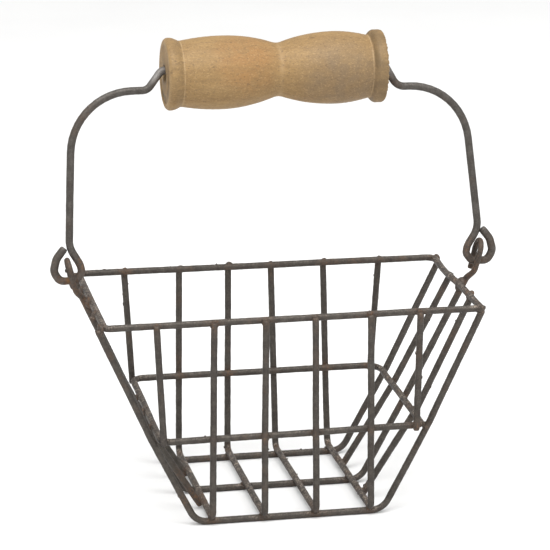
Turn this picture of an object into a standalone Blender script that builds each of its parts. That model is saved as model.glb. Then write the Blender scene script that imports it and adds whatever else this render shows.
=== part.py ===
"""Egg collection basket: a small tapered wire basket with a wire bail and a turned wooden grip.

Frame: +X along the basket, -Y to its front, +Z up, origin on the ground under the middle of the rim.
Lengths are in millimetres; MM turns them into Blender's metres when an object is made.
"""

import math

import bmesh
import bpy
from mathutils import Quaternion, Vector

MM = 0.001

# Wire stock. Wires are welded where they cross: each layer lies one pitch from the next.
BASKET_WIRE = 2.5
BAIL_WIRE = 3.1
WIRE_SIDES = 8
WELD_GAP = 0.3
PITCH = BASKET_WIRE + WELD_GAP
WIRE_RADIUS = BASKET_WIRE / 2
FACET_DROP = WIRE_RADIUS * math.cos(math.pi / WIRE_SIDES)

# Basket body: two hoops and the floor between them
SIDE_SIGN = {"left": -1, "right": 1}
FACE_SIGN = {"front": -1, "back": 1}
RIM_HALF_LENGTH = 83.0
RIM_HALF_WIDTH = 41.6
RIM_HEIGHT = 92.85
RIM_CORNER = 3.0
FLOOR_HALF_WIDTH = 40.6
FLOOR_HEIGHT = FACET_DROP
GIRDLE_HEIGHT = 41.2
GIRDLE_ENDS = {"left": -58.8, "right": 57.7}
GIRDLE_CORNER = 5.0
GIRDLE_TILT = math.radians(1.3)

# Lengthwise wires: where each end's slope passes the rim, the girdle and the floor, along X.
# The ends slope to different foot lines, so the floor sits a little to the left.
SLOPES = {"left": (-86.2, -62.7, -43.2), "right": (86.1, 61.3, 40.6)}
LENGTH_WIRE_Y = 39.9
SLOPE_KNEE = 40.0
FLOOR_BEND = 8.0
SLOPE_TOP = RIM_HEIGHT - 0.6
FACE_TOP = RIM_HEIGHT + 0.4

# U-shaped cross wires: place on the floor, then how far the front and back tops lean along X.
CROSS_WIRES = ((-36.5, 0.5, 0.0), (-13.5, 0.5, 0.0), (9.5, -1.0, -3.0), (34.5, -1.5, -3.5))
CROSS_BEND = 4.5

# Short side bars (top and foot along X) and the end bars (distance from the middle of the end)
SIDE_BARS = {
    ("left", "front"): (-61.5, -58.3),
    ("left", "back"): (-61.5, -58.3),
    ("right", "front"): (55.0, 54.8),
    ("right", "back"): (57.2, 53.9),
}
SIDE_BAR_OVERHANG = 2.0
END_BAR_Y = {"front": -20.0, "back": 18.5}
END_BAR_OVERHANG = 1.0

# Eyes at the tops of the centre wire, where the bail is linked
EYE_HALF_WIDTH = 4.4
EYE_BOTTOM = 99.5
EYE_TOP = 111.8
EYE_BOTTOM_X = 90.7
EYE_TOP_X = 93.3
EYE_CORNER = 4.3
EYE_NECK = (90.2, 3.2, 98.6)
EYE_NECK_BEND = 6.0
EYE_SHAFT_TOP = 94.8
EYE_SHAFT_BEND = 3.5
EYE_TAIL = (90.0, 3.7, 98.0)
EYE_TAIL_BEND = 2.5

# Bail: drawn upright in its own plane, x outward and w up from the pivot, then leaned back
PIVOT_HEIGHT = 102.65
BAIL_LEAN = math.radians(6.0)
GRIP_AXIS_RISE = 89.5
BORE_WIRE_RISE = 1.3
BAIL_SHOULDER_BEND = 27.0
BAIL_SHOULDERS = {"left": (89.2, 82.4), "right": (85.9, 80.0)}
BAIL_STEP_X = {"left": 56.4, "right": 55.9}
BAIL_STEP_BEND = 4.5
BAIL_MOUTH_GAP = 0.9
BAIL_MOUTH_BEND = 3.5
BAIL_ARM_FOOT = (92.2, 14.8)
BAIL_ARM_BEND = 11.0
LOOP = (
    ((94.8, 14.0), 0),
    ((100.4, 4.4), 4.5),
    ((97.0, 0), 3.5),
    ((89.6, 0), 3.0),
    ((86.9, 3.6), 3.0),
    ((87.6, 7.0), 8.0),
)

# Turned grip: one barrel each side of a waist, and a flange at each end. Reaches run from the waist.
WAIST_X = 1.5
GRIP_REACH = {"left": 50.0, "right": 47.1}
NECK_REACH = {"left": 42.9, "right": 40.6}
BARREL_RADIUS = {"left": 16.2, "right": 16.05}
GRIP_SEGMENTS = 28
SEAM_GAP = 1e-6
SHARP_EDGE = math.radians(35)
BARREL_X = 25.0
WAIST_RADIUS = 11.9
WAIST_VALLEY = 3.0
NECK_RADIUS = 14.0
NECK_TO_FLANGE = 1.8
NECK_FILLET = 0.8
FLANGE_RADIUS = 15.9
FLANGE_SHOULDER = 1.2
FLANGE_ROUND = 2.0
BORE_RADIUS = 3.25
BORE_CHAMFER = 0.8
BARREL_STEPS = 7

BEND_STEP = math.radians(18)


# Paths

def bend(before, corner, after, radius):
    """Points of the arc that rounds a corner between two straight runs."""
    to_before = (before - corner).normalized()
    to_after = (after - corner).normalized()
    half = to_before.angle(to_after) / 2
    turn = math.pi - 2 * half
    start = corner + to_before * radius / math.tan(half)
    centre = corner + (to_before + to_after).normalized() * radius / math.sin(half)
    axis = (to_before.cross(to_after)).normalized()
    steps = max(2, math.ceil(turn / BEND_STEP))
    arm = start - centre
    return [centre + Quaternion(axis, -turn * step / steps) @ arm for step in range(steps + 1)]


def rounded_path(corners):
    """An open path: its first and last corners are its ends, and each other one is a bend."""
    places = [Vector(place) for place, _ in corners]
    path = [places[0]]
    for index in range(1, len(places) - 1):
        path += bend(*places[index - 1:index + 2], corners[index][1])
    return path + [places[-1]]


def rounded_rectangle(low_x, high_x, half_y, radius):
    """A closed level path about z = 0."""
    corners = [(high_x, half_y), (low_x, half_y), (low_x, -half_y), (high_x, -half_y)]
    places = [Vector((x, y, 0)) for x, y in corners]
    path = []
    for index, place in enumerate(places):
        path += bend(places[index - 1], place, places[(index + 1) % 4], radius)
    return path


def face_y(height):
    """Half the hoop's width at a height: the front and back faces lean in slightly downwards."""
    share = (height - FLOOR_HEIGHT) / (RIM_HEIGHT - FLOOR_HEIGHT)
    return FLOOR_HALF_WIDTH + (RIM_HALF_WIDTH - FLOOR_HALF_WIDTH) * share


def slope_x(side, height):
    """Where the sloping wires of one end pass at a height above the girdle."""
    rim, girdle, _ = SLOPES[side]
    return girdle + (rim - girdle) * (height - GIRDLE_HEIGHT) / (RIM_HEIGHT - GIRDLE_HEIGHT)


# Making objects

def material(name, colour, roughness, metallic):
    made = bpy.data.materials.new(name)
    made.use_nodes = True
    shader = made.node_tree.nodes["Principled BSDF"]
    shader.inputs["Base Color"].default_value = (*colour, 1.0)
    shader.inputs["Roughness"].default_value = roughness
    shader.inputs["Metallic"].default_value = metallic
    return made


def wire(name, path, diameter, finish, closed=False):
    """A round wire along a path in millimetres, with a flat of its facets facing the path's plane."""
    curve = bpy.data.curves.new(name, "CURVE")
    curve.dimensions = "3D"
    curve.twist_mode = "MINIMUM"
    curve.bevel_depth = diameter / 2 * MM
    curve.bevel_resolution = (WIRE_SIDES - 4) // 2
    curve.use_fill_caps = True
    spline = curve.splines.new("POLY")
    spline.points.add(len(path) - 1)
    for point, place in zip(spline.points, path):
        point.co = (*(place * MM), 1)
        point.tilt = math.pi / WIRE_SIDES
    spline.use_cyclic_u = closed
    curve.materials.append(finish)
    made = bpy.data.objects.new(name, curve)
    bpy.context.scene.collection.objects.link(made)
    return made


def hoop(name, low_x, high_x, height, corner, finish):
    path = rounded_rectangle(low_x, high_x, face_y(height), corner)
    made = wire(name, path, BASKET_WIRE, finish, closed=True)
    made.location.z = height * MM
    return made


# Basket

def slope_corners(side):
    """The knee at the girdle and the bend at the floor, with heights above the floor wires."""
    _, girdle, foot = SLOPES[side]
    return [((girdle, 0, GIRDLE_HEIGHT - FLOOR_HEIGHT), SLOPE_KNEE), ((foot, 0, 0), FLOOR_BEND)]


def length_wire(name, face, finish):
    """One long wire: down an end, along the floor and up the other end, in an upright plane."""
    tops = {side: ((slope_x(side, SLOPE_TOP), 0, SLOPE_TOP - FLOOR_HEIGHT), 0) for side in SLOPES}
    corners = [tops["left"], *slope_corners("left"), *slope_corners("right")[::-1], tops["right"]]
    made = wire(name, rounded_path(corners), BASKET_WIRE, finish)
    made.location = (0, FACE_SIGN[face] * LENGTH_WIRE_Y * MM, FLOOR_HEIGHT * MM)
    return made


def eye_corners(side):
    """The eye from its tail, over the top and down into the shaft that meets the slope."""
    sign = SIDE_SIGN[side]
    tail_x, tail_y, tail_z = EYE_TAIL
    neck_x, neck_y, neck_z = EYE_NECK
    return [
        ((sign * tail_x, tail_y, tail_z), 0),
        ((sign * EYE_BOTTOM_X, EYE_HALF_WIDTH, EYE_BOTTOM), EYE_TAIL_BEND),
        ((sign * EYE_TOP_X, EYE_HALF_WIDTH, EYE_TOP), EYE_CORNER),
        ((sign * EYE_TOP_X, -EYE_HALF_WIDTH, EYE_TOP), EYE_CORNER),
        ((sign * neck_x, -neck_y, neck_z), EYE_NECK_BEND),
        ((slope_x(side, EYE_SHAFT_TOP), 0, EYE_SHAFT_TOP), EYE_SHAFT_BEND),
    ]


def centre_wire(name, finish):
    """The middle lengthwise wire, which ends in an eye above each end of the rim."""
    low = slope_corners("left") + slope_corners("right")[::-1]
    raised = [((x, y, rise + FLOOR_HEIGHT), radius) for (x, y, rise), radius in low]
    corners = eye_corners("left") + raised + eye_corners("right")[::-1]
    return wire(name, rounded_path(corners), BASKET_WIRE, finish)


def cross_wire(name, foot_x, front_lean, back_lean, finish):
    """A U of wire: down the front face, over the lengthwise wires and up the back face."""
    run = FLOOR_HEIGHT + PITCH
    foot_y = face_y(run) + PITCH
    top_y = face_y(FACE_TOP) + PITCH
    corners = [
        ((front_lean, -top_y, FACE_TOP), 0),
        ((0, -foot_y, run), CROSS_BEND),
        ((0, foot_y, run), CROSS_BEND),
        ((back_lean, top_y, FACE_TOP), 0),
    ]
    made = wire(name, rounded_path(corners), BASKET_WIRE, finish)
    made.location.x = foot_x * MM
    return made


def side_bar(name, side, face, finish):
    """A short bar outside the two hoops, near a corner."""
    top_x, foot_x = SIDE_BARS[side, face]
    foot = GIRDLE_HEIGHT - SIDE_BAR_OVERHANG
    sign = FACE_SIGN[face]
    path = [
        Vector((top_x, sign * (face_y(FACE_TOP) + PITCH), FACE_TOP)),
        Vector((foot_x, sign * (face_y(foot) + PITCH), foot)),
    ]
    return wire(name, path, BASKET_WIRE, finish)


def end_bar(name, side, face, finish):
    """A bar down one end, outside the hoops, whose foot is welded under the last cross wire."""
    sign = SIDE_SIGN[side]
    last = CROSS_WIRES[0] if side == "left" else CROSS_WIRES[-1]
    knee = Vector((slope_x(side, GIRDLE_HEIGHT), GIRDLE_HEIGHT))
    cross = Vector((last[0], FLOOR_HEIGHT + PITCH))
    down = (cross - knee).normalized()
    outward = Vector((-sign * down.y, sign * down.x))
    foot = cross + outward * (PITCH + WELD_GAP) + down * END_BAR_OVERHANG
    corners = [
        ((slope_x(side, SLOPE_TOP), 0, SLOPE_TOP), 0),
        ((knee.x, 0, knee.y), SLOPE_KNEE),
        ((foot.x, 0, foot.y), 0),
    ]
    made = wire(name, rounded_path(corners), BASKET_WIRE, finish)
    made.location.y = END_BAR_Y[face] * MM
    return made


# Bail and grip

def half_bail(side):
    """From the loop's tail, round the loop and up the arm to where the wire enters the grip."""
    shoulder_x, run = BAIL_SHOULDERS[side]
    arm_x, arm_foot = BAIL_ARM_FOOT
    bore_wire = GRIP_AXIS_RISE + BORE_WIRE_RISE
    mouth = GRIP_REACH[side] + SIDE_SIGN[side] * WAIST_X
    flat = list(LOOP) + [
        ((arm_x, arm_foot), BAIL_ARM_BEND),
        ((shoulder_x, run), BAIL_SHOULDER_BEND),
        ((BAIL_STEP_X[side], run), BAIL_STEP_BEND),
        ((mouth + BAIL_MOUTH_GAP, bore_wire), BAIL_MOUTH_BEND),
    ]
    return [((SIDE_SIGN[side] * x, 0, rise), radius) for (x, rise), radius in flat]


def bail_pivot():
    """The empty on the bail's hinge line, leaned back with the bail."""
    pivot = bpy.data.objects.new("bail_pivot", None)
    bpy.context.scene.collection.objects.link(pivot)
    pivot.location.z = PIVOT_HEIGHT * MM
    pivot.rotation_euler.x = -BAIL_LEAN
    return pivot


def grip_radius(side, distance):
    """Radius of the turned barrel on one side, at a distance from the grip's waist."""
    widest = BARREL_RADIUS[side]
    fall = (widest - WAIST_RADIUS) / (BARREL_X - WAIST_VALLEY / 2) ** 2
    if distance > BARREL_X:
        share = (distance - BARREL_X) / (NECK_REACH[side] - BARREL_X)
        return widest - (widest - NECK_RADIUS) * share ** 2
    if distance > WAIST_VALLEY:
        return widest - fall * (BARREL_X - distance) ** 2
    edge = widest - fall * (BARREL_X - WAIST_VALLEY) ** 2
    slope = 2 * fall * (BARREL_X - WAIST_VALLEY)
    return edge - slope * (WAIST_VALLEY ** 2 - distance ** 2) / (2 * WAIST_VALLEY)


def grip_profile(side):
    """One side's outline from just off the waist out to the bore's mouth, as (distance, radius)."""
    end = GRIP_REACH[side]
    neck = NECK_REACH[side]
    stations = [WAIST_VALLEY / 2]
    stations += [
        WAIST_VALLEY + (neck - WAIST_VALLEY) * step / BARREL_STEPS for step in range(BARREL_STEPS + 1)
    ]
    outline = [(distance, grip_radius(side, distance)) for distance in stations]
    flange = [
        ((neck - NECK_TO_FLANGE, 0, NECK_RADIUS), 0),
        ((neck + NECK_FILLET, 0, NECK_RADIUS), NECK_FILLET),
        ((neck + NECK_FILLET + NECK_TO_FLANGE, 0, FLANGE_RADIUS), FLANGE_SHOULDER),
        ((end, 0, FLANGE_RADIUS), FLANGE_ROUND),
        ((end, 0, BORE_RADIUS + BORE_CHAMFER), 0),
    ]
    outline += [(point.x, point.z) for point in rounded_path(flange)[1:]]
    outline.append((end - BORE_CHAMFER, BORE_RADIUS))
    return outline


def turned_grip(name, finish):
    """The closed outline, bore included, spun once about the X axis."""
    left = [(-distance, radius) for distance, radius in reversed(grip_profile("left"))]
    outline = left + [(0, WAIST_RADIUS)] + grip_profile("right")
    shape = bmesh.new()
    verts = [shape.verts.new((x * MM, 0, radius * MM)) for x, radius in outline]
    edges = [shape.edges.new((verts[index - 1], verts[index])) for index in range(len(verts))]
    bmesh.ops.spin(
        shape, geom=verts + edges, cent=(0, 0, 0), axis=(1, 0, 0), dvec=(0, 0, 0),
        angle=math.tau, steps=GRIP_SEGMENTS, use_merge=True,
    )
    bmesh.ops.remove_doubles(shape, verts=shape.verts, dist=SEAM_GAP)
    bmesh.ops.recalc_face_normals(shape, faces=shape.faces)
    mesh = bpy.data.meshes.new(name)
    shape.to_mesh(mesh)
    shape.free()
    mesh.shade_smooth()
    mesh.set_sharp_from_angle(angle=SHARP_EDGE)
    mesh.materials.append(finish)
    made = bpy.data.objects.new(name, mesh)
    bpy.context.scene.collection.objects.link(made)
    return made


# The assembly

def build():
    for old in list(bpy.data.objects):
        bpy.data.objects.remove(old)

    iron = material("oxidised_wire", (0.085, 0.075, 0.066), 0.6, 0.7)
    bail_iron = material("bail_steel", (0.105, 0.095, 0.088), 0.45, 0.8)
    wood = material("turned_hardwood", (0.50, 0.33, 0.18), 0.75, 0.0)

    hoop("rim_hoop", -RIM_HALF_LENGTH, RIM_HALF_LENGTH, RIM_HEIGHT, RIM_CORNER, iron)
    girdle = hoop("girdle_hoop", *GIRDLE_ENDS.values(), GIRDLE_HEIGHT, GIRDLE_CORNER, iron)
    girdle.rotation_euler.x = GIRDLE_TILT

    for face in FACE_SIGN:
        length_wire(f"length_wire_{face}", face, iron)
    centre_wire("length_wire_centre", iron)
    for number, (foot_x, front_lean, back_lean) in enumerate(CROSS_WIRES, 1):
        cross_wire(f"cross_wire_{number}", foot_x, front_lean, back_lean, iron)
    for side in SIDE_SIGN:
        for face in FACE_SIGN:
            side_bar(f"side_bar_{side}_{face}", side, face, iron)
            end_bar(f"end_bar_{side}_{face}", side, face, iron)

    pivot = bail_pivot()
    path = rounded_path(half_bail("left") + half_bail("right")[::-1])
    bail = wire("bail_wire", path, BAIL_WIRE, bail_iron)
    bail.parent = pivot
    grip = turned_grip("grip", wood)
    grip.location = (WAIST_X * MM, 0, GRIP_AXIS_RISE * MM)
    grip.parent = pivot


build()
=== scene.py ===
"""Egg collection basket: the visual model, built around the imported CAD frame.

The frame has +X along the basket, -Y to its front and +Z up. Lengths are in millimetres, and MM makes them
metres.
"""

import itertools
import math
import random

import bmesh
import bpy
from mathutils import Matrix, Quaternion, Vector, kdtree, noise


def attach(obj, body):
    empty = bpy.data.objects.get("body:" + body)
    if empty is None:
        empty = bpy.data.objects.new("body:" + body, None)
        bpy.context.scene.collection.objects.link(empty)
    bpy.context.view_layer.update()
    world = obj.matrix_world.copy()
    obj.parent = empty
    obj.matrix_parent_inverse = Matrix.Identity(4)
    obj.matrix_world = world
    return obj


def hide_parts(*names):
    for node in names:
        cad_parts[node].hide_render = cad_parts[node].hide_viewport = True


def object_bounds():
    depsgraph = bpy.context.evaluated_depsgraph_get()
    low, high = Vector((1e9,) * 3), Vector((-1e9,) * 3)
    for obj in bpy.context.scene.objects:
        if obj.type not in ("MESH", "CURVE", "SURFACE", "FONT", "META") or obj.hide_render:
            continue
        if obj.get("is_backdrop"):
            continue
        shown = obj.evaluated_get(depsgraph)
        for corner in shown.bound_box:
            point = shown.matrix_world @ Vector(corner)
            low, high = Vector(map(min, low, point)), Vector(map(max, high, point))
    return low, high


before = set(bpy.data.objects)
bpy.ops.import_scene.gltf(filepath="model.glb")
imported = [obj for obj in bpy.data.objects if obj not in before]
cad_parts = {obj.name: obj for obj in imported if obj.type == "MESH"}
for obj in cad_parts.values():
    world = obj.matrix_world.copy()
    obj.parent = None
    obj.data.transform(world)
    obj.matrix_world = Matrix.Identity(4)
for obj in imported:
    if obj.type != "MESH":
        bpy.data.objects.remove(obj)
cad_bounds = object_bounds()

# mathutils' noise vectors differ from run to run until they are seeded
NOISE_SEED = 5
noise.seed_set(NOISE_SEED)

MM = 0.001
SIDE_SIGN = {"left": -1, "right": 1}
FACE_SIGN = {"front": -1, "back": 1}

# Wire stock. Wires are welded where they cross: they lie a pitch apart, so they bite into each other.
BASKET_RADIUS = 1.49
EYE_RADIUS = 1.28
BAIL_RADIUS = 1.70
LOOP_SWELL = 0.10
PITCH = 2.42
FLOOR_Z = 1.5

# Wire meshes
RING_STEP = 0.8
RING_SIDES = 16
BEND_STEP = math.radians(7)
END_TAPER = 0.8
TIP_RISE = 0.12

# How uneven the wires are: how far they wander, how rough they are and how long each kind of bump is
BASKET_WANDER = 0.16
EYE_WANDER = 0.04
BAIL_WANDER = 0.18
LOOP_WANDER = 0.05
BASKET_ROUGHNESS = 0.045
BAIL_ROUGHNESS = 0.025
WANDER_LENGTH = 34.0
SWELL_LENGTH = 5.0
SCALE_LENGTH = 1.6
PIT_LENGTH = 1.1
PIT_SHARE = 0.6

# Welds: how close two wires' middles come where they are welded, and how far apart two wires' welds are
WELD_REACH = 2 * BASKET_RADIUS + 0.45
WELD_SPACING = 9.0
HEAVY_WELD = (1.7, 2.3)
LIGHT_WELD = (1.3, 1.7)
HEAVY_SHARE = 0.3
WELD_FLATNESS = 0.65
WELD_OFFSET = 0.35
BURRS = 90
FIRST_BURR_SEED = 500

# Rust and wear that are drawn at random
BASKET_SEED = 41
BAIL_SEED = 7
BAIL_TUBE_SEED = 31
RUST_SPOTS = 26
BAIL_RUST_SPOTS = 9
WORN_STEPS = 12

# How many times its reach a spot of rust or wear fades out over
SPOT_FADE = 2.5

# Rust round both eyes at (x outward, z, reach, strength), and one spot on the floor
EYE_RUST = ((91.5, 99, 7.0, 0.88), (93, 110, 6.0, 0.6), (86, 92, 5.0, 0.85))
FLOOR_RUST = ((-40, -20, 5), 9.0, 0.85)

# Rust on the bail's loops at (x outward, rise from the pivot, reach, strength), and how bare the wire is
# where it rubs in the grip's mouths
LOOP_RUST = {
    "left": ((93, 1, 5.5, 1.0), (88, 6, 4.5, 0.75), (97, 8, 4.0, 0.35)),
    "right": ((93, 1, 5.5, 0.6), (88, 6, 4.5, 0.75), (97, 8, 4.0, 0.35)),
}
MOUTH_RUB = {"left": 0.5, "right": 0.2}

# Hoops
RIM_X = 83.0
RIM_Y = 41.6
RIM_Z = 92.85
RIM_CORNERS = {"back_right": 4.2, "back_left": 3.0, "front_left": 2.6, "front_right": 2.2}
GIRDLE_X = {"left": -58.8, "right": 57.7}
GIRDLE_Z = 41.2
GIRDLE_CORNERS = {"back_right": 8.0, "back_left": 5.0, "front_left": 5.0, "front_right": 3.6}
FLOOR_Y = 40.6

# Hand-made hoops are not flat: their change of height, then the rise per millimetre along Y, along X
# and of twist
RIM_SAG = (0.2, 0.002, 0.0, -0.00006)
GIRDLE_SAG = (-0.05, 0.0235, 0.0033, -0.00011)

# The right ends are knocked in a little: how far, at which Y and over what reach
RIM_DENT = (0.9, 17.0, 15.0)
GIRDLE_DENT = (0.5, 22.0, 15.0)

# Lengthwise wires: X at the rim, at the girdle and at the floor, for each wire and end
SLOPES = {
    ("front", "left"): (-86.1, -63.0, -43.3),
    ("front", "right"): (84.1, 61.0, 40.8),
    ("back", "left"): (-85.8, -62.6, -43.0),
    ("back", "right"): (85.6, 61.0, 39.6),
    ("centre", "left"): (-86.0, -62.6, -43.0),
    ("centre", "right"): (86.4, 60.5, 39.5),
    ("bar_front", "left"): (-85.9, -62.7, -37.9),
    ("bar_front", "right"): (84.6, 60.6, 35.9),
    ("bar_back", "left"): (-85.8, -62.6, -37.9),
    ("bar_back", "right"): (85.9, 59.5, 35.5),
}
LENGTH_WIRE_INSET = 1.2
SLOPE_KNEE = 40.0
FLOOR_BEND = 8.0
SLOPE_TOP = RIM_Z - 0.9
FACE_TOP = RIM_Z + 0.5

# U-shaped cross wires, along X: front and back feet, then the lean of the front and back tops
CROSS_WIRES = (
    (-36.5, -37.0, 0.5, 0.5),
    (-13.3, -14.1, -0.2, 0.4),
    (9.8, 8.9, -1.4, -2.6),
    (34.5, 33.7, -1.6, -2.9),
)
CROSS_BEND = 3.4

# Short bars: X at the top and at the foot of each side bar, and Y of the end bars
SIDE_BARS = {
    ("left", "front"): (-61.0, -57.9),
    ("left", "back"): (-61.9, -58.5),
    ("right", "front"): (55.0, 54.3),
    ("right", "back"): (57.2, 53.9),
}
SIDE_BAR_OVERHANG = 2.0
END_BAR_Y = {"front": -20.0, "back": 18.5}

# Eyes. Places are (x outward, y from the middle, z).
EYE_HALF_WIDTH = 4.4
EYE_BOTTOM = 99.5
EYE_TOP = 111.8
EYE_BOTTOM_X = 90.7
EYE_TOP_X = 93.3
EYE_CORNER = 4.3
EYE_NECK = (90.2, 3.2, 98.6)
EYE_NECK_BEND = 6.0
EYE_SHAFT_TOP = 94.8
EYE_SHAFT_BEND = 3.5
EYE_TAIL = (90.0, 3.7, 98.0)
EYE_TAIL_BEND = 2.5

# The eyes' wire is thinner: from which height, and over what length it gets so
THINNING_START = 95.0
THINNING_HEIGHT = 6.0

# Bail, upright in its own plane. Places are (x outward, rise from the pivot), and each of the loop's has the
# radius of its bend.
PIVOT_Z = 102.65
BAIL_LEAN = math.radians(6.0)
GRIP_RISE = 89.5
BORE_WIRE_RISE = 1.3
SHOULDER_BEND = 27.3
SHOULDERS = {"left": (89.3, 82.4), "right": (85.5, 80.0)}
STEP_X = {"left": 56.1, "right": 55.5}
STEP_BEND = {"left": 4.5, "right": 6.0}
MOUTH_GAP = {"left": 1.3, "right": 0.9}
MOUTH_BEND = 3.5
ARM_FOOT = {"left": (92.2, 14.8), "right": (92.6, 14.8)}
ARM_BEND = 11.0
LOOP = (
    ((94.3, 14.6), 0.0),
    ((98.0, 9.9), 7.0),
    ((99.35, 4.4), 4.5),
    ((96.8, 0.0), 3.5),
    ((89.6, 0.0), 3.0),
    ((86.9, 3.6), 3.0),
    ((87.6, 7.0), 8.0),
)

# The loops' wire is fatter: from which X outward, and over what length it gets so. Below a height the bail
# wanders less, so that its loops stay clear of the eyes.
LOOP_START_X = 93.0
LOOP_SWELL_LENGTH = 3.0
LOOP_CLEAR_Z = 125.0

# Turned grip: one barrel each side of a waist, and a flange at each end. Reaches run from the waist.
WAIST_X = 1.5
GRIP_MIDDLE = Vector((WAIST_X, 0, GRIP_RISE))
GRIP_REACH = {"left": 50.0, "right": 47.1}
NECK_REACH = {"left": 42.9, "right": 40.2}
BARREL_RADIUS = {"left": 16.2, "right": 16.05}
GRIP_SEGMENTS = 200
BARREL_STEPS = 52
BARREL_X = 25.0
WAIST_RADIUS = 11.85
WAIST_VALLEY = 2.2
NECK_RADIUS = {"left": 14.5, "right": 13.95}
COVE_START = 0.7
COVE_END = {"left": 2.3, "right": 3.5}
COVE_STEPS = 8
FLANGE_RADIUS = {"left": 15.95, "right": 16.2}
FLANGE_ROUND = {"left": 1.9, "right": 1.0}
ROUND_STEPS = 6
LEFT_DROP = 0.4
SKIN = 0.1

# A fine ridge at the foot of each flange, pale as a painted highlight: (way past the neck, height, darkness,
# paleness)
NECK_RIDGE = ((0.25, 0.10, 0.0, 1.0), (0.45, 0.02, 0.05, 0.7))

# The bore's mouth, dark with painted shade: (way in, how much wider than the bore, painted shade) for each
# ring
BORE_RADIUS = 3.55
BORE_FLARE = 0.4
BORE_MOUTH = (
    (0.0, BORE_FLARE + 0.4, 0.75),
    (0.15, BORE_FLARE, 0.8),
    (0.7, 0.25, 1.0),
    (1.6, 0.0, 1.0),
    (6.0, 0.0, 1.0),
)

# Marks of the lathe's tool: how high they stand, how close they are, and where on the barrels they show
TOOL_MARK = 0.035
TOOL_MARK_RATE = 5.3
TOOL_MARK_MIDDLE = 33.0
TOOL_MARK_REACH = 9.0

# How much darker the coves and flanges are drawn outside, the coves with painted shade. Each end face has a
# groove inside a flat edge, and its rings are (way in from the edge, painted shade, paleness as wear and
# painted highlight, depth). The flat from there to the bore has even rings, drawn darker towards the bore.
FLANGE_DARKENING = {"left": 0.34, "right": 0.70}
FACE_EDGE = 13.4
FACE_GROOVE = (
    (0.0, 0.2, 0.9, 0.0),
    (0.3, 0.5, 0.2, 0.15),
    (0.7, 0.95, 0.0, 0.5),
    (1.2, 0.95, 0.0, 0.55),
    (2.0, 0.95, 0.0, 0.55),
    (2.9, 0.95, 0.0, 0.45),
    (3.8, 0.8, 0.0, 0.2),
)
FACE_FLAT_RADIUS = 9.0
FACE_FLAT_STEP = 0.6
FACE_FLAT_STEPS = 8

# Damage: a drying crack, the chattered edge of the right flange and marks on the left face: (y, z, size)
CRACK_MIDDLE = 14.5
CRACK_HALF = 3.4
CRACK_ANGLE = math.radians(113)
CRACK_WIDTH = 0.22
CHIP_REACH = 2.2
CHIP_RADIUS = 14.2
CHIP_LENGTH = 0.85
CHIP_SIZE = 0.8
FACE_MARKS = ((4.4, -4.1, 0.9), (8.6, 3.6, 0.7))


# ---------------------------------------------------------------- paths

def bend(before, corner, after, radius):
    """Points of the arc that rounds a corner between two straight runs."""
    to_before = (before - corner).normalized()
    to_after = (after - corner).normalized()
    half = to_before.angle(to_after) / 2
    turn = math.pi - 2 * half
    start = corner + to_before * radius / math.tan(half)
    centre = corner + (to_before + to_after).normalized() * radius / math.sin(half)
    axis = to_before.cross(to_after).normalized()
    steps = max(2, math.ceil(turn / BEND_STEP))
    arm = start - centre
    return [centre + Quaternion(axis, -turn * step / steps) @ arm for step in range(steps + 1)]


def rounded_path(corners):
    """An open path: its first and last corners are its ends, and each other one is a bend."""
    places = [Vector(place) for place, _ in corners]
    path = [places[0]]
    for index in range(1, len(places) - 1):
        path += bend(*places[index - 1:index + 2], corners[index][1])
    return path + [places[-1]]


def rounded_rectangle(low_x, high_x, half_y, corners):
    """A closed level path about z = 0, with its own radius at each corner."""
    places = [
        Vector((high_x, half_y, 0)), Vector((low_x, half_y, 0)),
        Vector((low_x, -half_y, 0)), Vector((high_x, -half_y, 0)),
    ]
    path = []
    for index, (place, radius) in enumerate(zip(places, corners.values())):
        path += bend(places[index - 1], place, places[(index + 1) % 4], radius)
    return path


def resampled(path, closed):
    """The path again, with points about one ring step apart."""
    ends = list(zip(path, path[1:] + path[:1])) if closed else list(zip(path, path[1:]))
    result = []
    for start, end in ends:
        steps = max(1, round((end - start).length / RING_STEP))
        result += [start.lerp(end, step / steps) for step in range(steps)]
    return result if closed else result + [path[-1]]


def face_y(height):
    """Half the hoops' width at a height."""
    return FLOOR_Y + (RIM_Y - FLOOR_Y) * (height - FLOOR_Z) / (RIM_Z - FLOOR_Z)


def slope_x(wire, side, height):
    """Where a sloping wire passes at a height above the girdle."""
    rim, girdle, _ = SLOPES[wire, side]
    return girdle + (rim - girdle) * (height - GIRDLE_Z) / (RIM_Z - GIRDLE_Z)


def hoop_path(low_x, high_x, height, corners, sag, dent):
    """A hoop at a height, a little out of flat and with its right end dented."""
    mean, along_y, along_x, twist = sag
    depth, middle, reach = dent
    path = resampled(rounded_rectangle(low_x, high_x, face_y(height), corners), True)
    for place in path:
        if place.x > high_x - 1:
            place.x -= depth * math.exp(-((place.y - middle) / reach) ** 2)
        place.z = height + mean + along_y * place.y + along_x * place.x + twist * place.x * place.y
    return path


def low_corners(wire):
    """The knees at the girdle and the bends at the floor, from the left end to the right."""
    left, right = SLOPES[wire, "left"], SLOPES[wire, "right"]
    return [
        ((left[1], 0, GIRDLE_Z), SLOPE_KNEE), ((left[2], 0, FLOOR_Z), FLOOR_BEND),
        ((right[2], 0, FLOOR_Z), FLOOR_BEND), ((right[1], 0, GIRDLE_Z), SLOPE_KNEE),
    ]


def length_path(wire):
    left_top, right_top = (((slope_x(wire, side, SLOPE_TOP), 0, SLOPE_TOP), 0) for side in SIDE_SIGN)
    path = rounded_path([left_top, *low_corners(wire), right_top])
    for place in path:
        place.y = FACE_SIGN[wire] * (face_y(place.z) - LENGTH_WIRE_INSET)
    return path


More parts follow.
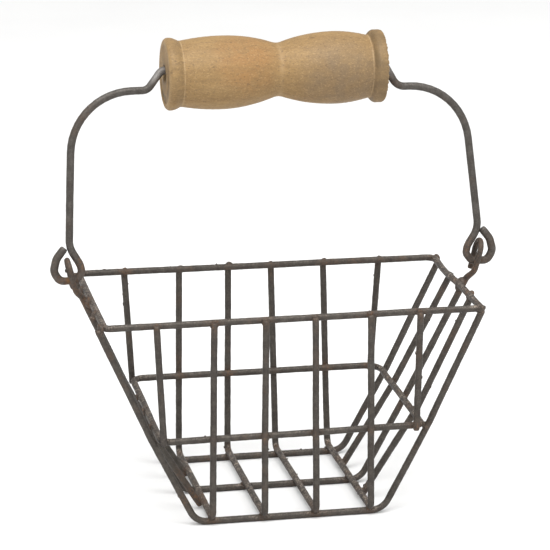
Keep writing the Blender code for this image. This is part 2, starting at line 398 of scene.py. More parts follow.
def eye_corners(side):
    sign = SIDE_SIGN[side]
    tail_x, tail_y, tail_z = EYE_TAIL
    neck_x, neck_y, neck_z = EYE_NECK
    return [
        ((sign * tail_x, tail_y, tail_z), 0),
        ((sign * EYE_BOTTOM_X, EYE_HALF_WIDTH, EYE_BOTTOM), EYE_TAIL_BEND),
        ((sign * EYE_TOP_X, EYE_HALF_WIDTH, EYE_TOP), EYE_CORNER),
        ((sign * EYE_TOP_X, -EYE_HALF_WIDTH, EYE_TOP), EYE_CORNER),
        ((sign * neck_x, -neck_y, neck_z), EYE_NECK_BEND),
        ((slope_x("centre", side, EYE_SHAFT_TOP), 0, EYE_SHAFT_TOP), EYE_SHAFT_BEND),
    ]


def centre_path():
    return rounded_path(eye_corners("left") + low_corners("centre") + eye_corners("right")[::-1])


def cross_path(front_x, back_x, front_lean, back_lean):
    run = FLOOR_Z + PITCH
    foot_y = face_y(run) + PITCH
    top_y = face_y(FACE_TOP) + PITCH
    return rounded_path([
        ((front_x + front_lean, -top_y, FACE_TOP), 0),
        ((front_x, -foot_y, run), CROSS_BEND),
        ((back_x, foot_y, run), CROSS_BEND),
        ((back_x + back_lean, top_y, FACE_TOP), 0),
    ])


def side_bar_path(side, face):
    top_x, foot_x = SIDE_BARS[side, face]
    foot = GIRDLE_Z - SIDE_BAR_OVERHANG
    sign = FACE_SIGN[face]
    return [
        Vector((top_x, sign * (face_y(FACE_TOP) + PITCH), FACE_TOP)),
        Vector((foot_x, sign * (face_y(foot) + PITCH), foot)),
    ]


def end_bar_path(side, face):
    wire = "bar_" + face
    _, girdle, foot = SLOPES[wire, side]
    y = END_BAR_Y[face]
    return rounded_path([
        ((slope_x(wire, side, SLOPE_TOP), y, SLOPE_TOP), 0),
        ((girdle, y, GIRDLE_Z), SLOPE_KNEE),
        ((foot, y, FLOOR_Z + 0.2), 0),
    ])


def half_bail(side):
    shoulder_x, run = SHOULDERS[side]
    arm_x, arm_foot = ARM_FOOT[side]
    mouth = GRIP_REACH[side] + SIDE_SIGN[side] * WAIST_X
    flat = list(LOOP) + [
        ((arm_x, arm_foot), ARM_BEND),
        ((shoulder_x, run), SHOULDER_BEND),
        ((STEP_X[side], run), STEP_BEND[side]),
        ((mouth + MOUTH_GAP[side], GRIP_RISE + BORE_WIRE_RISE), MOUTH_BEND),
    ]
    return [((SIDE_SIGN[side] * x, 0, rise), radius) for (x, rise), radius in flat]


def leaned(place):
    """A point of the upright bail, leaned back about the pivot."""
    return Matrix.Rotation(-BAIL_LEAN, 3, "X") @ Vector(place) + Vector((0, 0, PIVOT_Z))


def bail_path():
    return [leaned(place) for place in rounded_path(half_bail("left") + half_bail("right")[::-1])]


# ---------------------------------------------------------------- wire meshes

class Spots:
    """Places that colour the metal round them, such as welds: (place, reach, strength)."""

    def __init__(self):
        self.items = []

    def add(self, place, reach, strength):
        self.items.append((Vector(place), reach, strength))

    def at(self, place):
        value = 0.0
        for spot, reach, strength in self.items:
            distance = (place - spot).length / reach
            if distance < SPOT_FADE:
                value = max(value, strength * math.exp(-distance * distance))
        return value


def marked_shape(*marks):
    """An empty shape whose points carry one number for each mark, and the layers of those numbers."""
    shape = bmesh.new()
    for mark in marks:
        shape.verts.layers.float.new(mark)
    return shape, [shape.verts.layers.float[mark] for mark in marks]


def new_object(name, shape, looks):
    bmesh.ops.recalc_face_normals(shape, faces=shape.faces)
    mesh = bpy.data.meshes.new(name)
    shape.to_mesh(mesh)
    shape.free()
    mesh.shade_smooth()
    mesh.materials.append(looks)
    made = bpy.data.objects.new(name, mesh)
    bpy.context.scene.collection.objects.link(made)
    return made


def wandered(path, closed, wander, drift):
    """The path resampled and moved about by slow noise, but nowhere under the floor wires' level."""
    line = []
    for place in resampled(path, closed):
        moved = place + noise.noise_vector(place / WANDER_LENGTH + drift) * wander(place)
        moved.z = max(moved.z, FLOOR_Z)
        line.append(moved)
    return line


def directions(line, closed):
    """Which way the line runs at each of its points."""
    last = len(line) - 1
    result = []
    for index in range(len(line)):
        before = line[index - 1] if closed or index else line[0]
        after = line[(index + 1) % len(line)] if closed or index < last else line[-1]
        result.append((after - before).normalized())
    return result


def join_rings(shape, rings, closed):
    """Adds the faces between each ring of points and the next, and from last to first if closed."""
    following = rings[1:] + rings[:1] if closed else rings[1:]
    for first, second in zip(rings, following):
        for step in range(len(first)):
            after = (step + 1) % len(first)
            shape.faces.new((first[step], first[after], second[after], second[step]))


def mark(verts, place, marks):
    """Writes how strong each mark is at a place onto some points."""
    for layer, spots in marks.items():
        strength = spots.at(place)
        for vert in verts:
            vert[layer] = strength


def add_tip(shape, ring, outward, marks):
    """Closes a wire's end with a low cone."""
    middle = sum((vert.co for vert in ring), Vector()) / RING_SIDES
    tip = shape.verts.new(middle + outward * TIP_RISE * MM)
    mark([tip], middle / MM, marks)
    for step in range(RING_SIDES):
        shape.faces.new((ring[step], ring[(step + 1) % RING_SIDES], tip))


def tube(shape, path, closed, radius, wander, rough, seed, marks):
    """Adds one hand-worked wire: its line wanders a little and its surface is scaly."""
    drift = Vector((seed * 17.3, seed * 5.1, seed * 9.7))
    line = wandered(path, closed, wander, drift)
    tangents = directions(line, closed)
    side = tangents[0].orthogonal().normalized()
    rings = []
    for index, (place, tangent) in enumerate(zip(line, tangents)):
        side = (side - tangent * side.dot(tangent)).normalized()
        other = tangent.cross(side)
        swell = noise.noise(place / SWELL_LENGTH + drift) + 0.8 * noise.noise(place / SCALE_LENGTH + drift)
        size = radius(place) * (1 + rough * swell)
        if not closed and index in (0, len(line) - 1):
            size *= END_TAPER
        ring = []
        for step in range(RING_SIDES):
            angle = math.tau * step / RING_SIDES
            arm = side * math.cos(angle) + other * math.sin(angle)
            pit = 1 + rough * PIT_SHARE * noise.noise((place + arm * size) / PIT_LENGTH + drift)
            ring.append(shape.verts.new((place + arm * size * pit) * MM))
        mark(ring, place, marks)
        rings.append(ring)
    join_rings(shape, rings, closed)
    if not closed:
        add_tip(shape, rings[0], -tangents[0], marks)
        add_tip(shape, rings[-1], tangents[-1], marks)


def blob(shape, place, axes, sizes, seed, layer, rust):
    """Adds one lump of weld metal: an uneven egg shape."""
    made = bmesh.ops.create_icosphere(shape, subdivisions=3, radius=1.0)["verts"]
    drift = Vector((seed * 3.7, seed * 8.3, seed * 2.9))
    for vert in made:
        ray = vert.co.copy()
        reach = 1 + 0.22 * noise.noise(ray * 1.1 + drift) + 0.09 * noise.noise(ray * 3.1 + drift)
        spread = sum((axis * (amount * size) for axis, amount, size in zip(axes, ray, sizes)), Vector())
        vert.co = (place + spread * reach) * MM
        vert[layer] = rust


def search_tree(line):
    tree = kdtree.KDTree(len(line))
    for index, place in enumerate(line):
        tree.insert(place, index)
    tree.balance()
    return tree


def crossings(lines):
    """Where two wires touch: (place between them, direction from one to the other)."""
    trees = {name: search_tree(line) for name, line in lines.items()}
    found = []
    for first, second in itertools.combinations(lines, 2):
        near = []
        for place in lines[first]:
            other, _, gap = trees[second].find(place)
            if gap < WELD_REACH:
                near.append((gap, place, other))
        near.sort(key=lambda item: item[0])
        kept = []
        for _, place, other in near:
            if all((place - old).length > WELD_SPACING for old in kept):
                kept.append(place)
                found.append(((place + other) / 2, (other - place).normalized()))
    return found


# ---------------------------------------------------------------- materials

# Steel: each wire's scale is dark and grey, with pale specks painted on its top as a highlight, and the rest
# is the same on both
BASKET_STEEL = ((0.046, 0.039, 0.033), (0.077, 0.067, 0.057), (0.250, 0.215, 0.180))
BAIL_STEEL = ((0.058, 0.051, 0.044), (0.096, 0.087, 0.077), (0.250, 0.225, 0.200))
BAIL_PATTERN_SHIFT = 11.0
PITTED = (0.026, 0.021, 0.018)
DARK_RUST = (0.062, 0.037, 0.024)
LIGHT_RUST = (0.130, 0.068, 0.033)
ORANGE_RUST = (0.165, 0.084, 0.032)
BARE_STEEL = (0.50, 0.48, 0.46)
# Worn scale: real wear, which on the wires' tops also serves as a painted highlight
WORN_SCALE_AND_HIGHLIGHT = (0.54, 0.445, 0.365)

# Wood
WOOD_DEEP = (0.222, 0.132, 0.048)
WOOD_LIGHT = (0.280, 0.171, 0.061)
WOOD_MOTTLE = (0.335, 0.210, 0.082)
WOOD_STREAK = (0.165, 0.100, 0.045)
WOOD_RING = (0.165, 0.092, 0.040)
WOOD_WARM = (0.290, 0.148, 0.047)
WOOD_COOL = (0.170, 0.116, 0.065)
WOOD_PORE = (0.135, 0.082, 0.038)
WOOD_GLINT = (0.440, 0.292, 0.134)
WOOD_FLECK = (0.090, 0.050, 0.024)
# Paler wood for wear and painted highlight on ridges and edges
WOOD_RUB_AND_HIGHLIGHT = (0.430, 0.305, 0.165)
# Painted shade in the coves, grooves and bore mouths, and darker wood on the flanges
WOOD_DARKENING = (0.072, 0.050, 0.026)
WOOD_CRACK = (0.060, 0.034, 0.016)

# Each patch on the grip: its middle from the grip's own, and the reaches where it starts and ends fading
WARM_PATCH = ((-15, -13, 8), 6, 20)
COOL_PATCH = ((27, -15, -3), 9, 25)

STUDIO_WHITE = ((0.80, 0.80, 0.795), (0.83, 0.83, 0.825))


class Looks:
    """A node material under construction."""

    def __init__(self, name):
        self.material = bpy.data.materials.new(name)
        self.material.use_nodes = True
        self.tree = self.material.node_tree
        self.shader = self.tree.nodes["Principled BSDF"]
        coordinates = self.node("ShaderNodeTexCoord")
        self.place = coordinates.outputs["Object"]
        self.facings = coordinates.outputs["Normal"]

    def node(self, kind, **settings):
        made = self.tree.nodes.new(kind)
        for key, value in settings.items():
            setattr(made, key, value)
        return made

    def join(self, source, socket):
        if isinstance(source, bpy.types.NodeSocket):
            self.tree.links.new(source, socket)
        else:
            socket.default_value = source

    def centre_on(self, middle):
        """Makes later coordinates run from this place instead of from the object's origin."""
        made = self.node("ShaderNodeVectorMath", operation="SUBTRACT")
        self.join(self.place, made.inputs[0])
        made.inputs[1].default_value = middle
        self.place = made.outputs["Vector"]

    def around(self, place, near, far, strength):
        """Strength within a near distance of a place in millimetres, fading to nothing at a far one."""
        made = self.node("ShaderNodeVectorMath", operation="DISTANCE")
        self.join(self.place, made.inputs[0])
        made.inputs[1].default_value = Vector(place) * MM
        return self.ramp(made.outputs["Value"], near * MM, far * MM, strength, 0.0)

    def scaled(self, per_mm, offset=(0, 0, 0)):
        """Object coordinates in millimetres times a rate along each axis."""
        made = self.node("ShaderNodeMapping")
        made.inputs["Scale"].default_value = [rate / MM for rate in per_mm]
        made.inputs["Location"].default_value = offset
        self.join(self.place, made.inputs["Vector"])
        return made.outputs["Vector"]

    def noise(self, per_mm, detail=4.0, rough=0.55, offset=(0, 0, 0), distortion=0.0):
        made = self.node("ShaderNodeTexNoise")
        made.inputs["Scale"].default_value = 1.0
        made.inputs["Detail"].default_value = detail
        made.inputs["Roughness"].default_value = rough
        made.inputs["Distortion"].default_value = distortion
        rates = per_mm if isinstance(per_mm, tuple) else (per_mm,) * 3
        self.join(self.scaled(rates, offset), made.inputs["Vector"])
        return made.outputs["Fac"]

    def ramp(self, value, low, high, start=0.0, end=1.0):
        made = self.node("ShaderNodeMapRange", interpolation_type="SMOOTHSTEP")
        for name, number in (("From Min", low), ("From Max", high), ("To Min", start), ("To Max", end)):
            made.inputs[name].default_value = number
        self.join(value, made.inputs["Value"])
        return made.outputs["Result"]

    def maths(self, operation, first, second=0.0, clamp=False):
        made = self.node("ShaderNodeMath", operation=operation, use_clamp=clamp)
        self.join(first, made.inputs[0])
        self.join(second, made.inputs[1])
        return made.outputs[0]

    def product(self, first, second):
        return self.maths("MULTIPLY", first, second)

    def mix(self, amount, first, second):
        made = self.node("ShaderNodeMix", data_type="RGBA", blend_type="MIX")
        self.join(amount, made.inputs[0])
        for socket, colour in ((made.inputs[6], first), (made.inputs[7], second)):
            self.join((*colour, 1.0) if isinstance(colour, tuple) else colour, socket)
        return made.outputs[2]

    def tinted(self, colour, mask, strength, tone):
        """The colour, taken towards a tone by up to a strength where the mask shows."""
        return self.mix(self.product(mask, strength), colour, tone)

    def facing(self, axis):
        """How far the surface faces along one of the object's own axes, from -1 to 1."""
        split = self.node("ShaderNodeSeparateXYZ")
        self.join(self.facings, split.inputs["Vector"])
        return split.outputs[axis]

    def attribute(self, name):
        return self.node("ShaderNodeAttribute", attribute_name=name).outputs["Fac"]

    def bump(self, height, strength, distance):
        made = self.node("ShaderNodeBump")
        made.inputs["Strength"].default_value = strength
        made.inputs["Distance"].default_value = distance * MM
        self.join(height, made.inputs["Height"])
        self.join(made.outputs["Normal"], self.shader.inputs["Normal"])

    def finish(self, colour, roughness, metallic):
        self.join(colour, self.shader.inputs["Base Color"])
        self.join(roughness, self.shader.inputs["Roughness"])
        self.join(metallic, self.shader.inputs["Metallic"])
        return self.material


def wire_looks(name, steel, shift):
    """Dark scaled steel: grainy, with pale specks on top as a painted highlight, and rusty wherever the mesh
    is marked with it.
    """
    dark, grey, highlight_speck = steel
    looks = Looks(name)
    offset = (shift, shift * 2, shift * 3)
    patches = looks.ramp(looks.noise(0.30, 5.0, 0.6, offset), 0.34, 0.70)
    grain = looks.noise(1.9, 6.0, 0.7, offset)
    colour = looks.mix(patches, dark, grey)
    colour = looks.mix(looks.ramp(grain, 0.34, 0.54, 0.55, 0.0), colour, PITTED)
    # Painted highlight: pale specks only on the wires' upward-facing tops
    top_highlight = looks.ramp(looks.facing("Z"), 0.35, 0.95, 0.16, 0.72)
    specks = looks.ramp(looks.noise(1.7, 5.0, 0.7, offset), 0.48, 0.66)
    colour = looks.tinted(colour, specks, top_highlight, highlight_speck)

    handled = looks.attribute("worn")
    colour = looks.tinted(colour, handled, 0.75, PITTED)
    patchy = looks.ramp(looks.noise(0.42, 4.0, 0.65, offset), 0.38, 0.60, 0.12, 1.0)
    flakes = looks.product(looks.ramp(looks.noise(1.5, 4.0, 0.7, offset), 0.49, 0.56), patchy)
    # Worn flakes show most on upward faces: wear, and a painted highlight on the tops
    worn = looks.product(handled, looks.ramp(looks.facing("Z"), -0.1, 0.7, 0.15, 1.0))
    colour = looks.tinted(colour, flakes, worn, WORN_SCALE_AND_HIGHLIGHT)

    rusted = looks.attribute("rust")
    rust_tone = looks.mix(looks.ramp(looks.noise(1.1, 5.0, 0.6), 0.4, 0.65), DARK_RUST, LIGHT_RUST)
    rust_tone = looks.mix(looks.ramp(rusted, 0.86, 1.0), rust_tone, ORANGE_RUST)
    broken = looks.ramp(looks.noise(0.85, 5.0, 0.65, offset), 0.34, 0.62)
    film = looks.ramp(looks.noise(0.13, 4.0, 0.6, offset), 0.52, 0.75, 0.0, 0.30)
    rust = looks.maths("MULTIPLY", rusted, looks.maths("ADD", broken, 0.25), clamp=True)
    rust = looks.maths("MAXIMUM", rust, film)
    colour = looks.mix(rust, colour, rust_tone)
    bare = looks.attribute("bare")
    colour = looks.mix(bare, colour, BARE_STEEL)

    roughness = looks.ramp(grain, 0.3, 0.7, 0.44, 0.62)
    roughness = looks.maths("ADD", roughness, looks.product(rust, 0.25))
    roughness = looks.maths("SUBTRACT", roughness, looks.product(bare, 0.28), clamp=True)
    metallic = looks.maths("SUBTRACT", 0.55, looks.product(rust, 0.5), clamp=True)
    metallic = looks.maths("ADD", metallic, looks.product(bare, 0.4), clamp=True)
    looks.bump(looks.maths("ADD", grain, looks.product(rust, looks.noise(3.0, 4.0))), 0.6, 0.22)
    return looks.finish(colour, roughness, metallic)


def wood_looks(name):
    """Raw turned hardwood with its grain along X: mottled, finely pored, warmer here and greyer there."""
    looks = Looks(name)
    looks.centre_on(leaned(GRIP_MIDDLE) * MM)
    tone = looks.ramp(looks.noise((0.03, 0.09, 0.09), 4.0, 0.55, distortion=0.4), 0.32, 0.68)
    colour = looks.mix(tone, WOOD_DEEP, WOOD_LIGHT)
    mottle = looks.ramp(looks.noise((0.25, 0.55, 0.55), 6.0, 0.68), 0.36, 0.66)
    colour = looks.tinted(colour, mottle, 0.42, WOOD_MOTTLE)
    streak = looks.ramp(looks.noise((0.07, 0.85, 0.85), 5.0, 0.6, distortion=0.5), 0.42, 0.68)
    colour = looks.tinted(colour, streak, 0.20, WOOD_STREAK)
    rings = looks.node("ShaderNodeTexWave", wave_type="RINGS", rings_direction="X")
    for setting, amount in (("Scale", 1.0), ("Distortion", 5.0), ("Detail", 3.0), ("Detail Scale", 0.8)):
        rings.inputs[setting].default_value = amount
    looks.join(looks.scaled((0.012, 0.075, 0.075), (0, 1.3, 2.1)), rings.inputs["Vector"])
    ringed = looks.ramp(rings.outputs["Fac"], 0.62, 0.95, 0.0, 0.14)
    colour = looks.mix(ringed, colour, WOOD_RING)

    warm = looks.ramp(looks.noise(0.16, 4.0), 0.35, 0.6, 0.40, 1.0)
    colour = looks.tinted(colour, looks.around(*WARM_PATCH, 0.75), warm, WOOD_WARM)
    cool = looks.ramp(looks.noise(0.13, 4.0, offset=(4, 2, 7)), 0.35, 0.6, 0.55, 1.0)
    colour = looks.tinted(colour, looks.around(*COOL_PATCH, 0.80), cool, WOOD_COOL)

    pores = looks.ramp(looks.noise((0.9, 1.5, 1.5), 5.0, 0.65), 0.50, 0.66)
    colour = looks.tinted(colour, pores, 0.50, WOOD_PORE)
    glints = looks.ramp(looks.noise((1.1, 1.7, 1.7), 4.0, 0.62, offset=(9, 4, 1)), 0.52, 0.68)
    colour = looks.tinted(colour, glints, 0.40, WOOD_GLINT)
    flecks = looks.ramp(looks.noise((0.6, 1.1, 1.1), 3.0, 0.55), 0.63, 0.70)
    colour = looks.tinted(colour, flecks, 0.6, WOOD_FLECK)
    # Painted highlight and rubbed wear: paler on the neck ridges, the waist, the flanges' edges and the
    # faces' edges
    colour = looks.tinted(colour, looks.attribute("rub_and_highlight"), 0.55, WOOD_RUB_AND_HIGHLIGHT)
    # Painted shade in the coves, the faces' grooves and the bores' mouths, and darker wood on the flanges
    colour = looks.tinted(colour, looks.attribute("darkening"), 0.8, WOOD_DARKENING)
    colour = looks.mix(looks.attribute("crack"), colour, WOOD_CRACK)

    relief = looks.maths("SUBTRACT", mottle, looks.product(flecks, 0.8))
    relief = looks.maths("SUBTRACT", relief, looks.product(pores, 0.6))
    looks.bump(relief, 0.30, 0.12)
    return looks.finish(colour, looks.ramp(tone, 0.0, 1.0, 0.74, 0.62), 0.0)


def floor_looks():
    looks = Looks("studio_floor")
    tint = looks.ramp(looks.noise(0.004, 3.0), 0.3, 0.7)
    colour = looks.mix(tint, *STUDIO_WHITE)
    return looks.finish(colour, 0.9, 0.0)


# ---------------------------------------------------------------- grip

def smooth(share):
    """An S-shaped step from 0 to 1."""
    share = min(1.0, max(0.0, share))
    return share * share * (3 - 2 * share)


def grip_radius(side, distance):
    """Radius of the turned barrel on one side, at a distance from the grip's waist."""
    widest = BARREL_RADIUS[side]
    fall = (widest - WAIST_RADIUS) / (BARREL_X - WAIST_VALLEY / 2) ** 2
    if distance > BARREL_X:
        share = (distance - BARREL_X) / (NECK_REACH[side] - BARREL_X)
        return widest - (widest - NECK_RADIUS[side]) * share ** 2
    if distance > WAIST_VALLEY:
        return widest - fall * (BARREL_X - distance) ** 2
    edge = widest - fall * (BARREL_X - WAIST_VALLEY) ** 2
    slope = 2 * fall * (BARREL_X - WAIST_VALLEY)
    return edge - slope * (WAIST_VALLEY ** 2 - distance ** 2) / (2 * WAIST_VALLEY)


def grip_profile(side):
    """One side's outline from the waist into the bore: (distance, radius, darkening, paleness, sunk).

    Darkening is painted shade in the cove, the face's groove and the bore's mouth, and darker wood on the
    flanges; paleness is wear and a painted highlight on the ridges and edges; sunk is how deep it lies in
    the groove.
    """
    end = GRIP_REACH[side]
    neck = NECK_REACH[side]
    low, high = NECK_RADIUS[side], FLANGE_RADIUS[side]
    edge_round = FLANGE_ROUND[side]
    outline = []
    for step in range(1, BARREL_STEPS + 1):
        distance = neck * step / BARREL_STEPS
        near_marks = math.exp(-((distance - TOOL_MARK_MIDDLE) / TOOL_MARK_REACH) ** 2)
        tool_marks = TOOL_MARK * math.sin(distance * TOOL_MARK_RATE) * near_marks
        rub_and_highlight = 0.5 * math.exp(-(distance / 0.9) ** 2)
        outline.append((distance, grip_radius(side, distance) + tool_marks, 0.0, rub_and_highlight, 0.0))
    # The neck ridges: pale as a painted highlight
    outline += [(neck + past, low + height, darkness, pale, 0.0) for past, height, darkness, pale in NECK_RIDGE]
    cove = end - COVE_END[side] - neck - COVE_START
    for step in range(COVE_STEPS + 1):
        share = step / COVE_STEPS
        radius = low + (high - low) * math.sin(share * math.pi / 2)
        # The cove: painted shade
        darkness = FLANGE_DARKENING[side] - 0.12 * share if step else 0.15
        outline.append((neck + COVE_START + cove * share, radius, darkness, 0.0, 0.0))
    for step in range(ROUND_STEPS + 1):
        angle = math.pi / 2 * step / ROUND_STEPS
        distance = end - edge_round * (1 - math.sin(angle))
        radius = high - edge_round * (1 - math.cos(angle))
        round_share = smooth((step - 1) / 4)
        # The flange's rounded edge: darker at its foot, paler towards the face as wear and painted highlight
        darkness = (FLANGE_DARKENING[side] - 0.14) * (1 - round_share)
        outline.append((distance, radius, darkness, 0.05 + 0.4 * round_share, 0.0))
    outline += [(end, FACE_EDGE - inward, *marks) for inward, *marks in FACE_GROOVE]
    for step in range(FACE_FLAT_STEPS):
        inward = FACE_FLAT_STEP * step
        # The flat face: drawn darker towards the bore
        outline.append((end, FACE_FLAT_RADIUS - inward, 0.12 + 0.07 * inward, 0.0, 0.0))
    # The bore's mouth: painted shade
    outline += [(end - inward, BORE_RADIUS + wider, darkness, 0.0, 0.0) for inward, wider, darkness in BORE_MOUTH]
    return outline


def crack_depth(x, angle):
    """How deep a hairline drying crack is at a place on the grip: 0 almost everywhere."""
    along = x - CRACK_MIDDLE
    if abs(along) > CRACK_HALF:
        return 0.0
    line = CRACK_ANGLE - along * 0.045 + 0.03 * math.sin(along * 2.1)
    off = abs((angle - line + math.pi) % math.tau - math.pi) * BARREL_RADIUS["right"]
    return (1 - (along / CRACK_HALF) ** 2) * math.exp(-(off / CRACK_WIDTH) ** 2)


def face_mark(place):
    """How strongly a small dark mark on the left end face shows at a place."""
    if place.x > -GRIP_REACH["left"] + 0.3:
        return 0.0
    reach = [math.hypot(place.y - y, place.z - z) / size for y, z, size in FACE_MARKS]
    return max(math.exp(-share * share) for share in reach)


def chips(place, angle):
    """How far the chattered edge of the right flange is bitten away."""
    edge = smooth((place.x - (GRIP_REACH["right"] - CHIP_REACH)) / 1.2)
    edge *= smooth((place.yz.length - CHIP_RADIUS) / 0.8)
    teeth = noise.noise(Vector((angle * FLANGE_RADIUS["right"] / CHIP_LENGTH, 3.1, 0))) + 0.15
    return CHIP_SIZE * edge * max(0.0, teeth)


def groove_share(height):
    """The share of a face's groove that shows at a height from -1 to 1: all low down, little on top."""
    return 0.15 + 0.85 * smooth(0.5 - 0.9 * height)


def wood_lift(place):
    """How far hand sanding left the surface from round: long shallow swells and small dents."""
    swells = 0.09 * noise.noise(Vector((place.x / 16, place.y / 5, place.z / 5)))
    return swells + 0.04 * noise.noise(Vector((place.x / 1.6, place.y / 1.1, place.z / 1.1)))


def grip_ring(shape, layers, x, radius, darkness, pale, sunk):
    """Adds one ring of the grip's points, marked with its painted shade and darkening, its paleness from
    wear and painted highlight, and its cracks.
    """
    darkening, rub_and_highlight, crack = layers
    ring = []
    for step in range(GRIP_SEGMENTS):
        angle = math.tau * step / GRIP_SEGMENTS
        direction = Vector((0, math.cos(angle), math.sin(angle)))
        share = groove_share(direction.z) if sunk else 1.0
        place = Vector((x - math.copysign(sunk * share, x), 0, 0)) + direction * radius
        lift = 0.0
        if radius > BORE_RADIUS + BORE_FLARE:
            place.z -= LEFT_DROP * smooth(-x / BARREL_X)
            bite = chips(place, angle)
            lift = wood_lift(place) - 0.5 * bite
            place.x -= bite
        depth = crack_depth(x, angle)
        worked = place + direction * (lift - SKIN - 0.2 * depth)
        vert = shape.verts.new(leaned(worked + GRIP_MIDDLE) * MM)
        patch = 0.55 + 0.9 * noise.noise(place / 4)
        # Painted shade and darkening, and paleness from wear and painted highlight, varied in patches
        vert[darkening] = darkness * share * min(1.0, max(0.4, patch + 0.3))
        vert[rub_and_highlight] = pale * min(1.0, max(0.3, patch + 0.15))
        vert[crack] = max(depth, face_mark(place))
        ring.append(vert)
    return ring


def make_grip(looks):
    left = [(-distance, *rest) for distance, *rest in reversed(grip_profile("left"))]
    outline = left + [(0.0, WAIST_RADIUS, 0.0, 0.5, 0.0)] + grip_profile("right")
    shape, layers = marked_shape("darkening", "rub_and_highlight", "crack")
    join_rings(shape, [grip_ring(shape, layers, *row) for row in outline], True)
    made = new_object("turned_wood_grip", shape, looks)
    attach(made, "grip")
    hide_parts("grip")


# ---------------------------------------------------------------- basket and bail

def basket_paths():
    """Every wire of the basket: CAD node name to (path, closed)."""
    rim = hoop_path(-RIM_X, RIM_X, RIM_Z, RIM_CORNERS, RIM_SAG, RIM_DENT)
    girdle = hoop_path(*GIRDLE_X.values(), GIRDLE_Z, GIRDLE_CORNERS, GIRDLE_SAG, GIRDLE_DENT)
    paths = {
        "rim_hoop": (rim, True),
        "girdle_hoop": (girdle, True),
        "length_wire_front": (length_path("front"), False),
        "length_wire_back": (length_path("back"), False),
        "length_wire_centre": (centre_path(), False),
    }
    for number, place in enumerate(CROSS_WIRES, 1):
        paths[f"cross_wire_{number}"] = (cross_path(*place), False)
    for side in SIDE_SIGN:
        for face in FACE_SIGN:
            paths[f"side_bar_{side}_{face}"] = (side_bar_path(side, face), False)
            paths[f"end_bar_{side}_{face}"] = (end_bar_path(side, face), False)
    return paths


def basket_radius(place):
    """The wire is drawn a little thinner where it was bent into the eyes."""
    share = min(1.0, max(0.0, (place.z - THINNING_START) / THINNING_HEIGHT))
    return BASKET_RADIUS + (EYE_RADIUS - BASKET_RADIUS) * share


def basket_wander(place):
    return EYE_WANDER if place.z > THINNING_START else BASKET_WANDER


def basket_rust(welds, paths, draw):
    """Rust at every weld, round both eyes, on the floor and here and there along the wires."""
    rust = Spots()
    for place, _ in welds:
        rust.add(place, draw.uniform(1.8, 4.2), draw.uniform(0.25, 0.85))
    for sign in SIDE_SIGN.values():
        for x, z, reach, strength in EYE_RUST:
            rust.add((sign * x, 0, z), reach, strength)
    rust.add(*FLOOR_RUST)
    for _ in range(RUST_SPOTS):
        path, _ = paths[draw.choice(sorted(paths))]
        rust.add(draw.choice(resampled(path, False)), draw.uniform(2.0, 6.0), draw.uniform(0.15, 0.5))
    return rust


def basket_wear(draw):
    """Scale worn off where eggs and hands rub: along the floor's cross wires and both hoops' ends."""
    worn = Spots()
    for front_x, back_x, _, _ in CROSS_WIRES:
        for step in range(WORN_STEPS + 1):
            share = step / WORN_STEPS
            place = (front_x + (back_x - front_x) * share, FLOOR_Y * (2 * share - 1), FLOOR_Z + PITCH)
            worn.add(place, draw.uniform(3.5, 5.5), draw.uniform(0.6, 1.0))
    for side, sign in SIDE_SIGN.items():
        for x, height, strength in ((sign * RIM_X, RIM_Z, 0.95), (GIRDLE_X[side], GIRDLE_Z, 0.8)):
            for step in range(WORN_STEPS + 1):
                place = (x, RIM_Y * (2 * step / WORN_STEPS - 1), height)
                worn.add(place, draw.uniform(4.0, 6.0), draw.uniform(0.6 * strength, strength))
    return worn


def make_basket(looks):
    paths = basket_paths()
    welds = crossings({name: resampled(path, closed) for name, (path, closed) in paths.items()})
    draw = random.Random(BASKET_SEED)
    rust = basket_rust(welds, paths, draw)
    worn = basket_wear(draw)
    for seed, (name, (path, closed)) in enumerate(paths.items(), 1):
        shape, (rust_layer, worn_layer) = marked_shape("rust", "worn")
        marks = {rust_layer: rust, worn_layer: worn}
        tube(shape, path, closed, basket_radius, basket_wander, BASKET_ROUGHNESS, seed, marks)
        made = new_object("wire_" + name, shape, looks)
        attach(made, "basket")
        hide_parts(name)
    make_welds(welds, paths, looks, draw)


def add_welds(shape, layer, welds, draw):
    """Metal squeezed out at each crossing: more of it on the rim's ends, and most under the eyes."""
    for seed, (place, across) in enumerate(welds):
        along = across.orthogonal().normalized()
        other = across.cross(along)
        on_end_rim = abs(place.x) > RIM_X - 3 and place.z > RIM_Z - 5
        low, high = HEAVY_WELD if on_end_rim or draw.random() < HEAVY_SHARE else LIGHT_WELD
        sizes = [draw.uniform(flatness * low, flatness * high) for flatness in (1, 1, WELD_FLATNESS)]
        if on_end_rim:
            under_eye = abs(place.y) < 3
            sizes = [size * (1.45 if under_eye else 1.1) for size in sizes]
        shift = along * draw.uniform(-WELD_OFFSET, WELD_OFFSET)
        shift += other * draw.uniform(-WELD_OFFSET, WELD_OFFSET)
        axes = (along, other, across)
        blob(shape, place + shift, axes, sizes, seed, layer, draw.uniform(0.3, 0.85))


def add_burrs(shape, layer, paths, draw):
    """Small burrs that stand out here and there along the wires."""
    for seed in range(FIRST_BURR_SEED, FIRST_BURR_SEED + BURRS):
        path = resampled(paths[draw.choice(sorted(paths))][0], False)
        index = draw.randrange(1, len(path))
        along = (path[index] - path[index - 1]).normalized()
        outward = Quaternion(along, draw.uniform(0, math.tau)) @ along.orthogonal().normalized()
        sizes = (draw.uniform(0.35, 0.9), draw.uniform(0.25, 0.4), draw.uniform(0.25, 0.45))
        place = path[index] + outward * BASKET_RADIUS
        place.z = max(place.z, 2 * FLOOR_Z / 3)
        blob(shape, place, (along, along.cross(outward), outward), sizes, seed, layer, 0.4)


